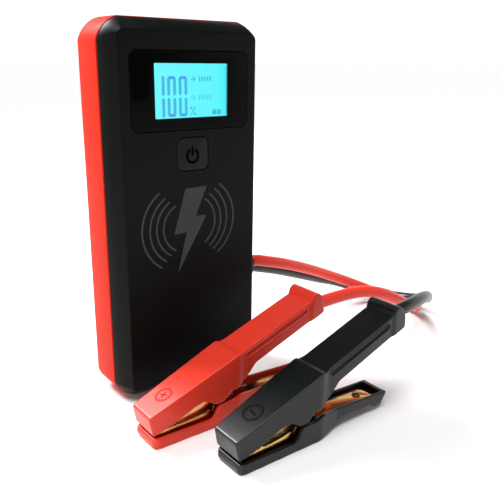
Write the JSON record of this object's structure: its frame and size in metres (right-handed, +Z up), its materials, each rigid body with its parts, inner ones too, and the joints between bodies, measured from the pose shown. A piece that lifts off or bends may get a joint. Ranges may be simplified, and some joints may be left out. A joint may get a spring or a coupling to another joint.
{
  "type": "jump starter pack",
  "caption": "Slim upright lithium jump starter pack with a lit display, a power button and two spring clamps, red and black, on short leads.",
  "frame": {"origin": "middle of the pack's bottom end, on the surface that it stands on", "axes": "+Z up along the pack's height, +X along its width towards the leads, +Y from the display to the back"},
  "size_m": [0.2476, 0.1238, 0.192],
  "materials": {
    "red_case": "satin moulded plastic",
    "black_case": "soft-touch coating",
    "window": "polished acrylic, black print behind",
    "lcd": "lit liquid crystal panel",
    "diffuser": "milky light guide",
    "button": "soft-touch",
    "board": "solder mask",
    "cell": "foil pouch",
    "foam": "closed-cell foam",
    "copper": "bare metal",
    "ferrite": "matt sintered",
    "steel": "bright zinc plating",
    "boot": "moulded rubber",
    "lens": "clear",
    "jaw_metal": "brass-plated sheet",
    "red_grip": "moulded vinyl, satin",
    "black_grip": "moulded vinyl, satin",
    "red_jacket": "flexible cable jacket",
    "black_jacket": "flexible cable jacket"
  },
  "bodies": {
    "root": {"rear_shell": "red_case", "front_shell": "black_case", "display_window": "window", "lcd_panel": "lcd", "backlight": "diffuser", "tact_switch": "steel", "main_board": "board", "usb_a_port": "steel", "usb_c_port": "steel", "cell_1": "cell", "cell_2": "cell", "cell_3": "cell", "cell_foam": "foam", "charge_coil": "copper", "coil_ferrite": "ferrite", "terminal_positive": "copper", "terminal_negative": "copper", "torch_lens": "lens", "torch_led": "diffuser", "lead_boot": "boot", "case_screw_1": "steel", "case_screw_2": "steel", "case_screw_3": "steel", "case_screw_4": "steel", "red_lower_cover": "red_grip", "red_lower_jaw": "jaw_metal", "red_pivot_pin": "steel", "red_spring": "steel", "red_lower_rivet": "steel", "red_lead": "red_jacket", "black_lower_cover": "black_grip", "black_lower_jaw": "jaw_metal", "black_pivot_pin": "steel", "black_spring": "steel", "black_lower_rivet": "steel", "black_lead": "black_jacket"},
    "red_upper_lever": {"red_upper_cover": "red_grip", "red_upper_jaw": "jaw_metal", "red_upper_rivet": "steel", "red_cable_lug": "copper"},
    "black_upper_lever": {"black_upper_cover": "black_grip", "black_upper_jaw": "jaw_metal", "black_upper_rivet": "steel", "black_cable_lug": "copper"},
    "power_button": {"power_button": "button"}
  },
  "joints": [
    {"name": "red_clamp_hinge", "type": "hinge", "parent": "root", "child": "red_upper_lever", "pos_m": [-0.008, -0.0495, 0.014], "axis": [0, 1, 0], "range_deg": [0, 30], "stiffness_Nm_per_rad": 1, "springref_deg": -20.05, "deforming": ["red_spring", "red_lead"]},
    {"name": "black_clamp_hinge", "type": "hinge", "parent": "root", "child": "black_upper_lever", "pos_m": [0.012, -0.0883, 0.014], "axis": [0, 1, 0], "range_deg": [0, 30], "stiffness_Nm_per_rad": 1, "springref_deg": -20.05, "deforming": ["black_spring", "black_lead"]},
    {"name": "power_button_press", "type": "slide", "parent": "root", "child": "power_button", "axis": [0, 1, 0], "range_m": [0, 0.0008], "stiffness_N_per_m": 400, "springref_m": -0.0005}
  ]
}
